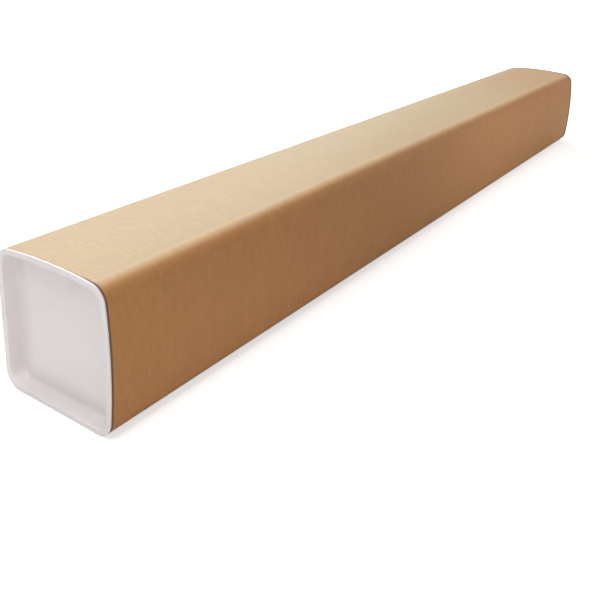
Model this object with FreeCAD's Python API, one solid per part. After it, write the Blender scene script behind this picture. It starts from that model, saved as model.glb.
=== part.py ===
import FreeCAD, Part
import os

# A square mailing tube: one length of wound board tube with round corners, closed at each end
# by a recessed plastic cap that pushes in and pulls straight out.
# +X runs along the tube, +Z is up, and the origin is the centre of the footprint.

# Board tube
tube_side = 101.6          # across the flats, before the swell of the bowed faces
tube_length = 914.4        # between the two cut ends of the board
board_wall = 2.4           # thickness of the wound board
corner_radius = 12.8       # outside radius of the four long corners
face_swell = 3.4           # how far the top and front faces bow out at their middle
cut_edge_rounding = 0.4    # where the saw has blunted the board's outer edge at both ends

# End cap
flange_thickness = 1.2     # along the tube; the flange covers the board's cut end
flange_rounding = 0.5      # on the flange's outer edge
cap_wall = 1.6             # thickness of the plug's side wall
cap_floor = 1.6            # thickness of the plug's floor
recess_depth = 11.5        # from the flange's face down to the floor
foot_rounding = 2.2        # where the recess wall turns into the floor
mouth_rounding = 1.0       # where the flange's face turns into the recess
nose_rounding = 1.2        # leading edge of the plug, which guides it into the tube
tightest_corner = 1.5      # no corner of the cap is sharper than this, seen along the tube

# Fits
plug_clearance = 0.3       # between the plug's side wall and the board, all round
seat_gap = 0.5             # between the flange and the board's cut end

# Places along the tube, at its -X end
tube_end = -tube_length / 2
flange_back = tube_end - seat_gap
flange_face = flange_back - flange_thickness
recess_floor = flange_face + recess_depth
plug_nose = recess_floor + cap_floor

# Places across the tube; the bowed faces are arcs, and the footprint is centred on the origin
back_flat = (tube_side + face_swell) / 2
front_flat = back_flat - tube_side
bow_radius = (tube_side ** 2 / 4 + face_swell ** 2) / (2 * face_swell)
front_bow_centre_y = front_flat - face_swell + bow_radius
top_bow_centre_z = tube_side + face_swell - bow_radius

# How far each surface lies inside the tube's outside
plug_inset = board_wall + plug_clearance
recess_inset = plug_inset + cap_wall

ALONG = FreeCAD.Vector(1, 0, 0)
NEAR = 1e-4                # places closer than this are the same place


def face_curves(x, inset):
    """The tube's front, top, back and bottom at x, moved in by inset, as endless curves."""
    front_bow = FreeCAD.Vector(x, front_bow_centre_y, tube_side / 2)
    top_bow = FreeCAD.Vector(x, front_flat + tube_side / 2, top_bow_centre_z)
    back_foot = FreeCAD.Vector(x, back_flat - inset, inset)
    return [
        Part.Circle(front_bow, ALONG, bow_radius - inset),
        Part.Circle(top_bow, ALONG, bow_radius - inset),
        Part.Line(back_foot, back_foot + FreeCAD.Vector(0, 0, 1)),
        Part.Line(back_foot, back_foot + FreeCAD.Vector(0, 1, 0)),
    ]


def crossing(curve, other, corner):
    """Where two curves cross, nearest to a corner."""
    points = [FreeCAD.Vector(p.X, p.Y, p.Z) for p in curve.intersect(other)]
    return min(points, key=lambda point: point.distanceToPoint(corner))


def foot_on(curve, point):
    """Place on the curve that is nearest to the point."""
    return curve.value(curve.parameter(point))


def section(x, inset=0.0):
    """Face across the tube at x: the outside, moved in by inset."""
    rounding = max(corner_radius - inset, tightest_corner)
    faces = face_curves(x, inset)
    centre_curves = face_curves(x, inset + rounding)
    corners = [(front_flat, tube_side), (back_flat, tube_side), (back_flat, 0), (front_flat, 0)]
    centres = []
    for number, (y, z) in enumerate(corners):
        following = centre_curves[(number + 1) % len(corners)]
        centres.append(crossing(centre_curves[number], following, FreeCAD.Vector(x, y, z)))

    edges = []
    for number, face in enumerate(faces):
        following = faces[(number + 1) % len(faces)]
        start = foot_on(face, centres[number - 1])
        end = foot_on(face, centres[number])
        turn_end = foot_on(following, centres[number])
        outward = (end - centres[number]) + (turn_end - centres[number])
        turn_middle = centres[number] + outward.normalize() * rounding
        if isinstance(face, Part.Circle):
            edges.append(Part.Arc(start, foot_on(face, (start + end) / 2), end).toShape())
        else:
            edges.append(Part.makeLine(start, end))
        edges.append(Part.Arc(end, turn_middle, turn_end).toShape())
    return Part.Face(Part.Wire(edges))


def bar(start, end, inset=0.0):
    """Solid with the tube's section, from x = start to x = end."""
    return section(start, inset).extrude(ALONG * (end - start))


def round_off(solid, radius, x, inset=0.0):
    """Round the edges of the solid that follow the section's outline at x and inset."""
    outline = section(x, inset).OuterWire
    on_outline = []
    for edge in solid.Edges:
        middle = edge.valueAt((edge.FirstParameter + edge.LastParameter) / 2)
        places = [Part.Vertex(middle)] + edge.Vertexes
        if all(place.distToShape(outline)[0] < NEAR for place in places):
            on_outline.append(edge)
    return solid.makeFillet(radius, on_outline)


def make_tube_body():
    """Board tube, open at both ends, with its outer cut edges blunted."""
    outside = bar(tube_end, -tube_end)
    for end in (tube_end, -tube_end):
        outside = round_off(outside, cut_edge_rounding, end)
    return outside.cut(bar(tube_end, -tube_end, board_wall))


def make_end_cap():
    """Cap at the -X end: a flange over the board's cut end and a tray-shaped plug in the tube."""
    flange = round_off(bar(flange_face, flange_back), flange_rounding, flange_face)
    plug = bar(flange_face, plug_nose, plug_inset)
    plug = round_off(plug, nose_rounding, plug_nose, plug_inset)
    recess = bar(flange_face, recess_floor, recess_inset)
    recess = round_off(recess, foot_rounding, recess_floor, recess_inset)
    cap = flange.fuse(plug).cut(recess)
    return round_off(cap, mouth_rounding, flange_face, recess_inset)


tube_body = make_tube_body().Solids[0]
near_end_cap = make_end_cap().Solids[0]
far_end_cap = near_end_cap.mirror(FreeCAD.Vector(0, 0, 0), ALONG)

os.makedirs("parts", exist_ok=True)
tube_body.exportStep("parts/tube_body.step")
near_end_cap.exportStep("parts/near_end_cap.step")
far_end_cap.exportStep("parts/far_end_cap.step")
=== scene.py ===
import math
from collections import namedtuple

import bpy
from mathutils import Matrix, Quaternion, Vector


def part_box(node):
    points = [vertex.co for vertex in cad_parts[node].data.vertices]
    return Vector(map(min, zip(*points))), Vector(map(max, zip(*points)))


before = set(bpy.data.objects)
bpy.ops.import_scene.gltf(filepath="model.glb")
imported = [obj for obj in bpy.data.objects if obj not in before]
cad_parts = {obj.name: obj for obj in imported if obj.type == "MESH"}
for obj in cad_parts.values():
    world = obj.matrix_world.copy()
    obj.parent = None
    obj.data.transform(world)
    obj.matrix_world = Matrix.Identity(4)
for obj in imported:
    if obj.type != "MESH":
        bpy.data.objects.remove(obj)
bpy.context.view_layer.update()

bl_info = {
    "name": "Square mailing tube",
    "version": (1, 0, 0),
    "blender": (4, 5, 0),
    "location": "View3D > Sidebar > Mailing tube",
    "description": "Kraft board, white cap plastic, floor, lamps and camera for a square mailing tube",
    "category": "Object",
}

# The construction's own sizes, in metres
BOARD_LOW, BOARD_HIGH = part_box("tube_body")
BOARD_REACH = (BOARD_HIGH.x - BOARD_LOW.x) / 2      # from the tube's middle to a cut end
CAP_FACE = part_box("far_end_cap")[1].x
MILLIMETRE = 0.001


# ---------------------------------------------------------------- shader maths

class Channel:
    """One output of a shader node, which Python's operators do maths on."""

    def __init__(self, shader, socket):
        self.shader = shader
        self.socket = socket

    def math(self, operation, *others):
        """A Math node's result, with this channel as its first value."""
        values = dict(enumerate([self, *others]))
        return self.shader.node("Math", {"operation": operation}, values).channel()

    def flipped(self, operation, other):
        """A Math node's result, with this channel as its second value."""
        return self.shader.node("Math", {"operation": operation}, {0: other, 1: self}).channel()

    def __add__(self, other):
        return self.math("ADD", other)

    def __sub__(self, other):
        return self.math("SUBTRACT", other)

    def __mul__(self, other):
        return self.math("MULTIPLY", other)

    def __truediv__(self, other):
        return self.math("DIVIDE", other)

    def __pow__(self, other):
        return self.math("POWER", other)

    def __gt__(self, other):
        return self.math("GREATER_THAN", other)

    def __lt__(self, other):
        return self.math("LESS_THAN", other)

    def __abs__(self):
        return self.math("ABSOLUTE")

    def __rsub__(self, other):
        return self.flipped("SUBTRACT", other)

    def __rtruediv__(self, other):
        return self.flipped("DIVIDE", other)

    def __rpow__(self, other):
        return self.flipped("POWER", other)

    __radd__ = __add__
    __rmul__ = __mul__

    def at_least(self, other):
        return self.math("MAXIMUM", other)

    def at_most(self, other):
        return self.math("MINIMUM", other)

    def clamped(self):
        return self.at_least(0.0).at_most(1.0)


class Added:
    """A node that has been added, and the outputs it offers."""

    def __init__(self, shader, node):
        self.shader = shader
        self.node = node

    def channel(self, output=0):
        return Channel(self.shader, self.node.outputs[output])


class Shader:
    """A node tree that is filled by plain calls, one for each node."""

    # The Mix node's number, vector and colour sockets share their names, so these go by number.
    MIX_FACTOR = 0
    MIX_FIRST_COLOUR = 6
    MIX_SECOND_COLOUR = 7
    MIX_MIXED_COLOUR = 2

    def __init__(self, owner):
        owner.use_nodes = True
        self.tree = owner.node_tree
        self.tree.nodes.clear()

    def node(self, kind, settings=None, sockets=None):
        """Adds a node: its settings first, then the values or links of its sockets."""
        node = self.tree.nodes.new("ShaderNode" + kind)
        for name, value in (settings or {}).items():
            setattr(node, name, value)
        for key, value in (sockets or {}).items():
            if isinstance(value, Channel):
                self.tree.links.new(value.socket, node.inputs[key])
            else:
                node.inputs[key].default_value = value
        return Added(self, node)

    def object_place(self):
        """Where a point lies on its own part, which moves with the part."""
        return self.node("TexCoord").channel("Object")

    def components(self, vector):
        """The vector's x, y and z."""
        parts = self.node("SeparateXYZ", sockets={0: vector})
        return [parts.channel(axis) for axis in range(3)]

    def stretched(self, vector, factors):
        """The vector with each component multiplied by its own factor."""
        return self.node("VectorMath", {"operation": "MULTIPLY"}, {0: vector, 1: factors}).channel()

    def noise(self, vector, scale, detail=2.0, roughness=0.5, distortion=0.0):
        """Smooth noise about 0, with most of it from -0.3 to 0.3."""
        sockets = {
            "Vector": vector, "Scale": scale, "Detail": detail,
            "Roughness": roughness, "Distortion": distortion,
        }
        return self.node("TexNoise", sockets=sockets).channel("Fac") - 0.5

    def ease(self, value, start, end):
        """0 before start, 1 after end, with a smooth turn between them."""
        sockets = {"Value": value, "From Min": start, "From Max": end}
        return self.node("MapRange", {"interpolation_type": "SMOOTHSTEP"}, sockets).channel()

    def fade(self, value, start, end):
        """1 before start, 0 after end, with a smooth turn between them."""
        return 1.0 - self.ease(value, start, end)

    def mix(self, factor, first, second, blend="MIX"):
        """Colours first and second, mixed by factor."""
        settings = {"data_type": "RGBA", "blend_type": blend}
        sockets = {
            self.MIX_FACTOR: factor,
            self.MIX_FIRST_COLOUR: first,
            self.MIX_SECOND_COLOUR: second,
        }
        return self.node("Mix", settings, sockets).channel(self.MIX_MIXED_COLOUR)

    def toned(self, colour, tone):
        """The colour made lighter or darker by tone, and left as it is where tone is 1."""
        grey = self.node("CombineColor", sockets={0: tone, 1: tone, 2: tone}).channel()
        return self.mix(1.0, colour, grey, "MULTIPLY")

    def bump(self, height, distance):
        """Normal of a surface raised by height, counted in the given distance."""
        return self.node("Bump", sockets={"Height": height, "Distance": distance}).channel()

    def seen(self):
        """1 for light that reaches the eye straight, by reflection or through glass, else 0."""
        sight = self.node("LightPath")
        mirrored = sight.channel("Is Glossy Ray").at_least(sight.channel("Is Transmission Ray"))
        return sight.channel("Is Camera Ray").at_least(mirrored)

    def finish(self, surface, output="OutputMaterial"):
        """Joins the last shader to the tree's output."""
        self.node(output, sockets={"Surface": surface})


def rgba(colour):
    return (*colour, 1.0)


# ---------------------------------------------------------------- settings

class BoardSettings(bpy.types.PropertyGroup):
    """The wound board: its colours, and the sizes its layers follow."""

    kraft: bpy.props.FloatVectorProperty(
        name="Kraft", description="Brown paper on the outside",
        default=(0.525, 0.245, 0.09), subtype="COLOR", min=0.0, max=1.0)
    # Painted light: a paler, lit copy of the kraft, painted on the upper and back faces; the kraft
    # above stays on the front and underside as the shaded copy.
    kraft_painted_lit: bpy.props.FloatVectorProperty(
        name="Faded kraft", description="Brown paper on the upper and back faces, paler than the front",
        default=(0.58, 0.435, 0.27), subtype="COLOR", min=0.0, max=1.0)
    kraft_dark: bpy.props.FloatVectorProperty(
        name="Kraft flecks", description="Darker fibres and flecks in the brown paper",
        default=(0.32, 0.135, 0.052), subtype="COLOR", min=0.0, max=1.0)
    kraft_light: bpy.props.FloatVectorProperty(
        name="Kraft fibres", description="Lighter fibres in the brown paper",
        default=(0.68, 0.37, 0.17), subtype="COLOR", min=0.0, max=1.0)
    # Painted shade: this dark colour is painted at the cap joints of both cut ends, in a band at the
    # far end and as a contact shadow along the underside.
    shade_paint: bpy.props.FloatVectorProperty(
        name="Soiling", description="Dirt at the cut ends and along the underside",
        default=(0.13, 0.085, 0.055), subtype="COLOR", min=0.0, max=1.0)
    lining: bpy.props.FloatVectorProperty(
        name="Lining", description="Grey-brown paper on the inside",
        default=(0.23, 0.165, 0.115), subtype="COLOR", min=0.0, max=1.0)
    core: bpy.props.FloatVectorProperty(
        name="Core", description="Board layers that show at the cut ends",
        default=(0.30, 0.215, 0.15), subtype="COLOR", min=0.0, max=1.0)
    wall: bpy.props.FloatProperty(
        name="Board wall", description="Thickness of the wound board",
        default=2.4 * MILLIMETRE, unit="LENGTH", min=0.5 * MILLIMETRE)
    ply: bpy.props.FloatProperty(
        name="Ply", description="Thickness of one layer of the wound board",
        default=0.4 * MILLIMETRE, unit="LENGTH", min=0.1 * MILLIMETRE)
    corner_radius: bpy.props.FloatProperty(
        name="Corner radius", description="Outside radius of the long corners",
        default=12.8 * MILLIMETRE, unit="LENGTH", min=1.0 * MILLIMETRE)
    face_swell: bpy.props.FloatProperty(
        name="Face swell", description="How far the top and front faces bow out",
        default=3.4 * MILLIMETRE, unit="LENGTH", min=0.0)
    sheen_colour: bpy.props.FloatVectorProperty(
        name="Sheen colour", description="Colour of the light that loose surface fibres catch",
        default=(0.97, 1.0, 0.70), subtype="COLOR", min=0.0, max=1.0)
    sheen: bpy.props.FloatProperty(
        name="Sheen", description="Soft light that loose surface fibres catch at a low angle",
        default=0.2, subtype="FACTOR", min=0.0, max=1.0)


class CapSettings(bpy.types.PropertyGroup):
    """The moulded plastic of the two end caps."""

    plastic: bpy.props.FloatVectorProperty(
        name="Plastic", description="Colour of the moulded plastic",
        default=(0.85, 0.80, 0.795), subtype="COLOR", min=0.0, max=1.0)
    roughness: bpy.props.FloatProperty(
        name="Roughness", description="Middle roughness of the moulded surface",
        default=0.38, subtype="FACTOR", min=0.0, max=1.0)
    # Painted shade: a greyer plastic colour painted along the lower and side edges of the recess floor.
    recess_shade_colour: bpy.props.FloatVectorProperty(
        name="Dust", description="Plastic with the dust that gathers at the edges of the recess floor",
        default=(0.70, 0.66, 0.65), subtype="COLOR", min=0.0, max=1.0)
    recess_depth: bpy.props.FloatProperty(
        name="Recess depth", description="From the flange's face down to the recess floor",
        default=11.5 * MILLIMETRE, unit="LENGTH", min=0.0)
    recess_inset: bpy.props.FloatProperty(
        name="Recess inset", description="From the tube's outside in to the recess wall",
        default=4.3 * MILLIMETRE, unit="LENGTH", min=0.0)
    fold: bpy.props.FloatProperty(
        name="Fold", description="Radius where the recess wall turns into the floor",
        default=2.2 * MILLIMETRE, unit="LENGTH", min=0.0)
    glow: bpy.props.FloatProperty(
        name="Translucency", description="How much light the plastic scatters inside itself",
        default=0.12, subtype="FACTOR", min=0.0, max=1.0)


class StageSettings(bpy.types.PropertyGroup):
    """Floor, lamps and camera."""

    floor: bpy.props.FloatVectorProperty(
        name="Floor", description="Colour of the plain floor",
        default=(0.85, 0.85, 0.85), subtype="COLOR", min=0.0, max=1.0)
    camera_place: bpy.props.FloatVectorProperty(
        name="Camera place", description="Where the camera stands",
        default=(-0.7266, -0.3689, 0.3044), subtype="TRANSLATION", unit="LENGTH")
    camera_azimuth: bpy.props.FloatProperty(
        name="Azimuth", description="Direction the camera looks from, about the upright axis",
        default=math.radians(-55.40), unit="ROTATION")
    camera_elevation: bpy.props.FloatProperty(
        name="Elevation", description="Angle that the camera looks down by",
        default=math.radians(16.01), unit="ROTATION")
    camera_roll: bpy.props.FloatProperty(
        name="Roll", description="Turn of the camera about its own line of sight",
        default=math.radians(1.62), unit="ROTATION")
    camera_lens: bpy.props.FloatProperty(
        name="Lens", description="Focal length for a 36 mm sensor, in millimetres",
        default=46.25, unit="CAMERA", min=10.0)
    camera_rise: bpy.props.FloatProperty(
        name="Rise", description="Upright shift of the picture against the line of sight",
        default=-0.25)


# ---------------------------------------------------------------- finishes

# Distances between which one finish turns into another: where the turn starts, and where it ends
BACK_TURN = (-15.0 * MILLIMETRE, 15.0 * MILLIMETRE)       # across the tube, from front to back, where the painted lit colour comes in on the back face
FAR_TURN = (100.0 * MILLIMETRE, BOARD_REACH)              # along the tube, where the top front gets less painted light
FAR_TURN_SIDE = (20.0 * MILLIMETRE, 48.0 * MILLIMETRE)    # across the tube, where that ends
# Strips of painted shade: at the cap joints, at the far end and along the underside.
JOINT_SHADE_STRIP = (0.7 * MILLIMETRE, 1.8 * MILLIMETRE)       # in from either cut end
JOINT_SHADE_SIDE = (-42.0 * MILLIMETRE, -22.0 * MILLIMETRE)    # across the tube, where the painted shade at the cap joint ends
FAR_END_SHADE_STRIP = (3.0 * MILLIMETRE, 7.0 * MILLIMETRE)       # in from the far cut end
CONTACT_SHADE_STRIP = (3.8 * MILLIMETRE, 7.5 * MILLIMETRE)      # up from the underside
# Where the painted shade lies on the caps' recess floor.
RECESS_SHADE_EDGE = (-5.0 * MILLIMETRE, 16.0 * MILLIMETRE)       # in from the recess wall
RECESS_SHADE_LOW = (60.0 * MILLIMETRE, 92.0 * MILLIMETRE)        # up from the underside
RECESS_SHADE_SIDES = (34.0 * MILLIMETRE, 42.0 * MILLIMETRE)      # out from the cap's middle
FLOOR_TURN = (0.2, 1.1)                                   # out from the tube's middle line

CUT_FACE = 0.02 * MILLIMETRE      # board that lies nearer to its end than this is the cut face
FLOOR_SKIN = 0.2 * MILLIMETRE     # plastic that rises less than this is still the recess floor
FLOOR_GLOW = 0.58                 # how white the stage's floor shows by itself beside the tube

Section = namedtuple("Section", "depth exposed bent crest")
Grain = namedtuple("Grain", "cloud mottle formation streaks fibres flecks")


def board_section(shader, y, z, board):
    """Where a place lies in the board's section.

    Gives its depth below the outside, in metres, and three shares from 0 to 1 that place painted light
    and shade: the paler lit copy of the paper on the upper and back faces, painted shade on a long
    corner's bend beside the front or back face, and a painted highlight on the upper part of the top
    front corner's bend.
    """
    half = (BOARD_HIGH.z - BOARD_LOW.z - board.face_swell) / 2
    across = y - (BOARD_HIGH.y - half)
    up = z - (BOARD_LOW.z + half)
    top_bow = (1.0 - (across / half) ** 2.0) * (up / half).clamped() * board.face_swell
    front_bow = (1.0 - (up / half) ** 2.0) * (across / -half).clamped() * board.face_swell
    flat_part = half - board.corner_radius
    side_reach = abs(across + front_bow) - flat_part
    rise_reach = abs(up - top_bow) - flat_part
    corner = (side_reach.at_least(0.0) ** 2.0 + rise_reach.at_least(0.0) ** 2.0) ** 0.5
    depth = board.corner_radius - corner - side_reach.at_least(rise_reach).at_most(0.0)

    # The lean is -1 where a corner's bend leaves the front or back face, 0 halfway round it,
    # and 1 where it meets the top or the underside.
    lean = (rise_reach - side_reach.at_least(0.0)) / board.corner_radius
    # Painted light: the upper and back faces get a paler, lit copy of the paper colour.
    upper = shader.ease(lean, -0.2, 0.95) * (up > 0.0)
    exposed = upper.at_least(shader.ease(across, *BACK_TURN))
    # Painted shade on a corner's bend beside the front or back face, and a painted highlight on the
    # upper part of the top front corner's bend.
    bent = shader.ease(lean, -1.0, -0.4) * shader.fade(lean, -0.3, 0.25)
    crest = shader.ease(lean, 0.05, 0.45) * shader.fade(lean, 0.65, 1.0)
    return Section(depth, exposed, bent, crest * (up > 0.0) * (across < 0.0))


def paper_grain(shader, place):
    """The paper's patterns. Its grain runs round the tube, so most are short along the tube."""
    def round_tube(stretch):
        """The place with its way round the tube shortened, which stretches a pattern that way."""
        return shader.stretched(place, (1.0, stretch, stretch))

    return Grain(
        cloud=shader.noise(place, scale=42.0, detail=3.0),
        mottle=shader.noise(place, scale=230.0),
        formation=shader.noise(round_tube(0.22), scale=420.0, detail=4.0, roughness=0.62),
        streaks=shader.noise(round_tube(0.03), scale=330.0),
        fibres=shader.noise(
            round_tube(0.09), scale=3400.0, detail=3.0, roughness=0.6, distortion=0.6),
        flecks=shader.noise(round_tube(0.3), scale=900.0, detail=1.0, distortion=0.8),
    )


def paper_tone(section, grain):
    """How light the paper is, about 1, with painted shade on the long corners' bends and a painted
    highlight on the top front corner's crest.
    """
    streaks = grain.streaks * (1.0 - section.exposed * 0.7) * 0.08
    tone = 1.0 + grain.cloud * 0.10 + grain.mottle * 0.09 + grain.formation * 0.24 + streaks
    # Painted shade on the corners' bends and a painted highlight on the top front crest.
    return tone - section.bent * 0.08 + section.crest * 0.15


def kraft_colour(shader, x, y, section, grain, board):
    """Brown paper, painted paler on the upper and back faces as lit, with light fibres and dark flecks.
    """
    # Painted light: the front of the top gets less of the paler lit colour towards the far end.
    lit_withheld = shader.ease(x, *FAR_TURN) * shader.fade(y, *FAR_TURN_SIDE) * 0.45
    kraft = shader.mix(section.exposed * (1.0 - lit_withheld), rgba(board.kraft), rgba(board.kraft_painted_lit))
    light_fibre = shader.ease(grain.fibres + grain.formation * 0.4, 0.06, 0.30)
    kraft = shader.mix(light_fibre * 0.45, kraft, rgba(board.kraft_light))
    dark_fleck = shader.ease(grain.flecks, 0.21, 0.30)
    return shader.mix(dark_fleck * 0.55, kraft, rgba(board.kraft_dark))


def core_colour(shader, glue_line, grain, board):
    """The board's layers at a cut end, with the glue lines between them and pale fibres."""
    core = shader.mix(glue_line * 0.6, rgba(board.core), rgba(board.lining))
    fibrous = shader.ease(grain.formation, -0.2, 0.3)
    return shader.mix(fibrous * 0.35, core, rgba(board.kraft_light))


def board_shade(shader, x, y, z, to_end):
    """How much painted shade the board gets, from 0 to 1.

    Painted shade lies at the front of both ends where the caps meet the board, in a wider band at the
    far end, and as a painted contact shadow along the underside.
    """
    # Painted shade: thin dark strips where the caps meet the front of both cut ends, a wider band at
    # the far end, and a contact shadow along the underside.
    joint_shade = shader.fade(to_end, *JOINT_SHADE_STRIP) * shader.fade(y, *JOINT_SHADE_SIDE)
    far_end_shade = shader.fade(BOARD_REACH - x, *FAR_END_SHADE_STRIP)
    contact_shade = shader.fade(z, *CONTACT_SHADE_STRIP)
    return (joint_shade * 0.8).at_least(far_end_shade * 0.85).at_least(contact_shade * 0.5)


def kraft_board(board):
    """Material of the wound board: kraft outside, grey-brown inside, plies at the cut ends."""
    material = bpy.data.materials.new("kraft board")
    shader = Shader(material)
    place = shader.object_place()
    x, y, z = shader.components(place)
    section = board_section(shader, y, z, board)
    grain = paper_grain(shader, place)
    to_end = BOARD_REACH - abs(x)
    at_cut = to_end < CUT_FACE

    tone = paper_tone(section, grain)
    kraft = shader.toned(kraft_colour(shader, x, y, section, grain, board), tone)
    lining = shader.toned(rgba(board.lining), tone)
    skin = shader.mix(section.depth > board.wall / 2, kraft, lining)

    ply_phase = (section.depth / board.ply).math("FRACT")
    glue_line = shader.ease(abs(ply_phase - 0.5), 0.34, 0.46)
    core = core_colour(shader, glue_line, grain, board)
    below_skin = shader.ease(section.depth, board.ply * 0.7, board.ply)
    colour = shader.mix(at_cut * below_skin, skin, core)
    # Painted shade at the cap joints and at the far end, and a painted contact shadow along the
    # underside.
    painted_shade = board_shade(shader, x, y, z, to_end)
    colour = shader.mix(painted_shade * (1.0 - at_cut), colour, rgba(board.shade_paint))

    cockle = shader.noise(place, scale=24.0)
    relief = cockle * 0.10 + grain.formation * 0.018 + grain.fibres * 0.012
    relief = relief + glue_line * at_cut * -0.05
    surface = shader.node("BsdfPrincipled", sockets={
        "Base Color": colour,
        "Roughness": 0.50 + grain.formation * 0.12 + grain.cloud * 0.08 + at_cut * 0.3,
        "Normal": shader.bump(relief, MILLIMETRE),
        "Specular IOR Level": 0.12,
        "Sheen Weight": board.sheen,
        "Sheen Roughness": 0.3,
        "Sheen Tint": rgba(board.sheen_colour),
    })
    shader.finish(surface.channel())
    return material


def recess_shading(shader, place, cap, board):
    """Painted shade on the recess floor, strongest along its lower and side edges."""
    x, y, z = shader.components(place)
    above_floor = abs(x) - (CAP_FACE - cap.recess_depth)
    on_floor = shader.fade(above_floor, FLOOR_SKIN, cap.fold)
    from_wall = board_section(shader, y, z, board).depth - cap.recess_inset
    low = shader.fade(z, *RECESS_SHADE_LOW)
    aside = shader.ease(abs(y), *RECESS_SHADE_SIDES)
    return shader.fade(from_wall, *RECESS_SHADE_EDGE) * on_floor * low.at_least(aside * 0.7)


def cap_plastic(cap, board):
    """Material of the end caps: white moulded plastic with a faint grain and slow waves, and painted
    shade along the edges of the recess floor.
    """
    material = bpy.data.materials.new("white cap plastic")
    shader = Shader(material)
    place = shader.object_place()
    waves = shader.noise(place, scale=26.0)
    flow_place = shader.stretched(place, (1.0, 0.35, 1.0))
    flow = shader.noise(flow_place, scale=90.0, detail=3.0, roughness=0.55, distortion=0.5)
    grain = shader.noise(place, scale=2300.0)
    rubs = shader.noise(shader.stretched(place, (0.5, 0.06, 1.0)), scale=1500.0)
    rub_marks = shader.ease(rubs, 0.2, 0.34)

    colour = shader.toned(rgba(cap.plastic), 1.0 + waves * 0.05 + flow * 0.06)
    # Painted shade along the lower and side edges of the recess floor, broken up by the flow pattern.
    recess_shade_share = recess_shading(shader, place, cap, board) * (flow * 0.6 + 1.15)
    colour = shader.mix(recess_shade_share, colour, rgba(cap.recess_shade_colour))
    relief = waves * 0.10 + flow * 0.015 + grain * 0.004
    surface = shader.node("BsdfPrincipled", sockets={
        "Base Color": colour,
        "Roughness": cap.roughness + flow * 0.10 + grain * 0.05 + rub_marks * 0.10,
        "Normal": shader.bump(relief, MILLIMETRE),
        "Subsurface Weight": cap.glow,
        "Subsurface Radius": (1.0, 0.8, 0.7),
        "Subsurface Scale": 2.0 * MILLIMETRE,
    })
    shader.finish(surface.channel())
    return material


def floor_paint(stage):
    """Pale floor that shows nearly white to the eye and keeps the shadow that falls on it."""
    material = bpy.data.materials.new("pale floor")
    shader = Shader(material)
    x, y, _ = shader.components(shader.object_place())
    away = ((abs(x) - BOARD_HIGH.x).at_least(0.0) ** 2.0 + y ** 2.0) ** 0.5
    level = FLOOR_GLOW + shader.ease(away, *FLOOR_TURN) * (1.0 - FLOOR_GLOW)
    seen = shader.node("LightPath").channel("Is Camera Ray")
    bare = shader.node("Emission", sockets={"Strength": 0.0}).channel()
    white = shader.node("Emission", sockets={"Strength": 1.0}).channel()
    glow = shader.node("MixShader", sockets={0: seen * level, 1: bare, 2: white}).channel()
    paint = shader.node("BsdfDiffuse", sockets={"Color": rgba(stage.floor)}).channel()
    shader.finish(shader.node("AddShader", sockets={0: paint, 1: glow}).channel())
    return material


def dress(node_name, material):
    """Gives every material slot of a construction part the same finish."""
    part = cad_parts[node_name]
    if not part.material_slots:
        raise RuntimeError(node_name + " has no material slot")
    for slot in part.material_slots:
        slot.material = material


# ---------------------------------------------------------------- stage values, in metres

FLOOR_REACH = 12.0           # from the tube out to each edge of the floor
WORLD_FILL = 0.05            # strength of the level light that the surroundings give
WORLD_WHITE = 1.0            # strength that they show to the eye and in reflections
SENSOR_WIDTH = 36.0          # millimetres
CLIP_RANGE = (0.01, 100.0)   # nearest and farthest that the camera shows
WHITE = (1.0, 1.0, 1.0)

LAMPS = [
    # name, place, aim, width and height, power in watts
    ("front softbox", (-1.92, -0.55, 0.25), (-0.45, 0.0, 0.05), (0.8, 0.8), 7.5),
    ("high front softbox", (-0.95, 0.00, 1.00), (-0.45, 0.0, 0.05), (0.5, 0.5), 3.7),
    ("near side softbox", (-0.60, -0.40, 0.18), (-0.5, 0.0, 0.05), (0.3, 0.3), 0.24),
    ("low near strip", (-0.32, -0.14, 0.010), (-0.32, 0.0, 0.010), (0.32, 0.02), 0.013),
    ("side softbox", (0.14, -0.25, 0.15), (0.14, 0.0, 0.05), (0.2, 0.2), 0.115),
    ("far side softbox", (0.55, -0.45, 0.25), (0.5, 0.0, 0.05), (0.3, 0.3), 0.72),
    ("far end lamp", (1.50, 0.00, 0.05), (0.45, 0.0, 0.05), (0.09, 0.09), 2.5),
    ("back softbox", (0.35, 1.30, 1.30), (-0.4, 0.0, 0.10), (0.8, 0.8), 19.8),
    ("far back softbox", (1.00, 0.90, 0.90), (-0.3, 0.0, 0.10), (0.6, 0.6), 4.5),
    ("top softbox", (-0.45, 0.00, 0.80), (-0.45, 0.0, 0.10), (0.4, 0.4), 1.9),
    ("far top softbox", (0.30, 0.00, 0.80), (0.30, 0.0, 0.10), (0.4, 0.4), 0.5),
]


# ---------------------------------------------------------------- operators

class TUBE_OT_board(bpy.types.Operator):
    """Gives the board tube its kraft, lining and cut edges"""

    bl_idname = "tube.board"
    bl_label = "Finish the board tube"

    def execute(self, context):
        dress("tube_body", kraft_board(context.scene.tube_board))
        return {"FINISHED"}


class TUBE_OT_caps(bpy.types.Operator):
    """Gives both end caps their white moulded plastic"""

    bl_idname = "tube.caps"
    bl_label = "Finish the end caps"

    def execute(self, context):
        plastic = cap_plastic(context.scene.tube_cap, context.scene.tube_board)
        for node_name in ("near_end_cap", "far_end_cap"):
            dress(node_name, plastic)
        return {"FINISHED"}


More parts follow.
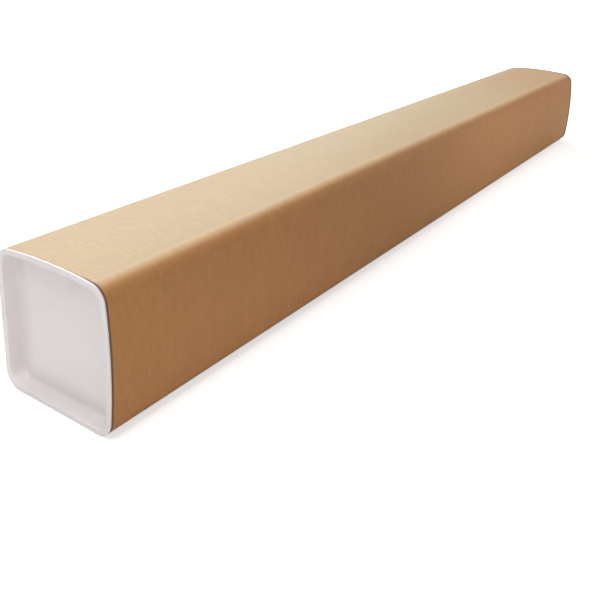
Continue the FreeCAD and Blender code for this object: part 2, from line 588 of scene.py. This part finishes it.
class TUBE_OT_stage(bpy.types.Operator):
    """Lays the floor, hangs the lamps, and places the camera"""

    bl_idname = "tube.stage"
    bl_label = "Set the stage"

    def execute(self, context):
        stage = context.scene.tube_stage
        self.lay_floor(context, stage)
        self.light_world(context)
        self.hang_lamps(context)
        self.place_camera(context, stage)
        context.scene.view_settings.view_transform = "Standard"
        return {"FINISHED"}

    @staticmethod
    def lay_floor(context, stage):
        """A flat floor under the lowest part."""
        height = min(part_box(node_name)[0].z for node_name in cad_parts)
        signs = [(-1, -1), (1, -1), (1, 1), (-1, 1)]
        corners = [(x * FLOOR_REACH, y * FLOOR_REACH, height) for x, y in signs]
        mesh = bpy.data.meshes.new("floor")
        mesh.from_pydata(corners, [], [(0, 1, 2, 3)])
        floor = bpy.data.objects.new("floor", mesh)
        mesh.materials.append(floor_paint(stage))
        context.collection.objects.link(floor)

    @staticmethod
    def light_world(context):
        """White to the eye and in reflections, and a level fill on everything else."""
        world = bpy.data.worlds.new("studio")
        context.scene.world = world
        shader = Shader(world)
        fill, white = [
            shader.node("Background", sockets={"Color": rgba(WHITE), "Strength": strength}).channel()
            for strength in (WORLD_FILL, WORLD_WHITE)
        ]
        sky = shader.node("MixShader", sockets={0: shader.seen(), 1: fill, 2: white}).channel()
        shader.finish(sky, "OutputWorld")

    @staticmethod
    def hang_lamps(context):
        """Soft lamps in front, at the side, behind and above, which the camera doesn't see."""
        for name, place, aim, size, power in LAMPS:
            light = bpy.data.lights.new(name, "AREA")
            light.shape = "RECTANGLE"
            light.size, light.size_y = size
            light.energy = power
            lamp = bpy.data.objects.new(name, light)
            lamp.location = place
            lamp.rotation_mode = "QUATERNION"
            lamp.rotation_quaternion = (Vector(aim) - Vector(place)).to_track_quat("-Z", "Y")
            lamp.visible_camera = False
            context.collection.objects.link(lamp)

    @staticmethod
    def place_camera(context, stage):
        """Camera that looks along its azimuth and elevation, and is rolled about that line."""
        azimuth, elevation = stage.camera_azimuth, stage.camera_elevation
        level = math.cos(elevation)
        sight = Vector((-math.sin(azimuth) * level, math.cos(azimuth) * level, -math.sin(elevation)))
        roll = Quaternion((0, 0, 1), stage.camera_roll)
        data = bpy.data.cameras.new("camera")
        data.lens = stage.camera_lens
        data.sensor_width = SENSOR_WIDTH
        data.shift_y = stage.camera_rise
        data.clip_start, data.clip_end = CLIP_RANGE
        camera = bpy.data.objects.new("camera", data)
        camera.location = stage.camera_place
        camera.rotation_mode = "QUATERNION"
        camera.rotation_quaternion = sight.to_track_quat("-Z", "Y") @ roll
        context.collection.objects.link(camera)
        context.scene.camera = camera


# ---------------------------------------------------------------- panel and registration

class TUBE_PT_panel(bpy.types.Panel):
    """Buttons for the tube's finishes and stage"""

    bl_idname = "TUBE_PT_panel"
    bl_label = "Mailing tube"
    bl_space_type = "VIEW_3D"
    bl_region_type = "UI"
    bl_category = "Mailing tube"

    def draw(self, context):
        for operator in OPERATORS:
            self.layout.operator(operator.bl_idname)


OPERATORS = (TUBE_OT_board, TUBE_OT_caps, TUBE_OT_stage)
SETTINGS = {"tube_board": BoardSettings, "tube_cap": CapSettings, "tube_stage": StageSettings}


def register():
    for settings_name, settings in SETTINGS.items():
        bpy.utils.register_class(settings)
        setattr(bpy.types.Scene, settings_name, bpy.props.PointerProperty(type=settings))
    for cls in (*OPERATORS, TUBE_PT_panel):
        bpy.utils.register_class(cls)


def unregister():
    for cls in (TUBE_PT_panel, *reversed(OPERATORS)):
        bpy.utils.unregister_class(cls)
    for settings_name, settings in SETTINGS.items():
        delattr(bpy.types.Scene, settings_name)
        bpy.utils.unregister_class(settings)


def main():
    register()
    bpy.ops.tube.board()
    bpy.ops.tube.caps()
    bpy.ops.tube.stage()


if __name__ == "__main__":
    main()
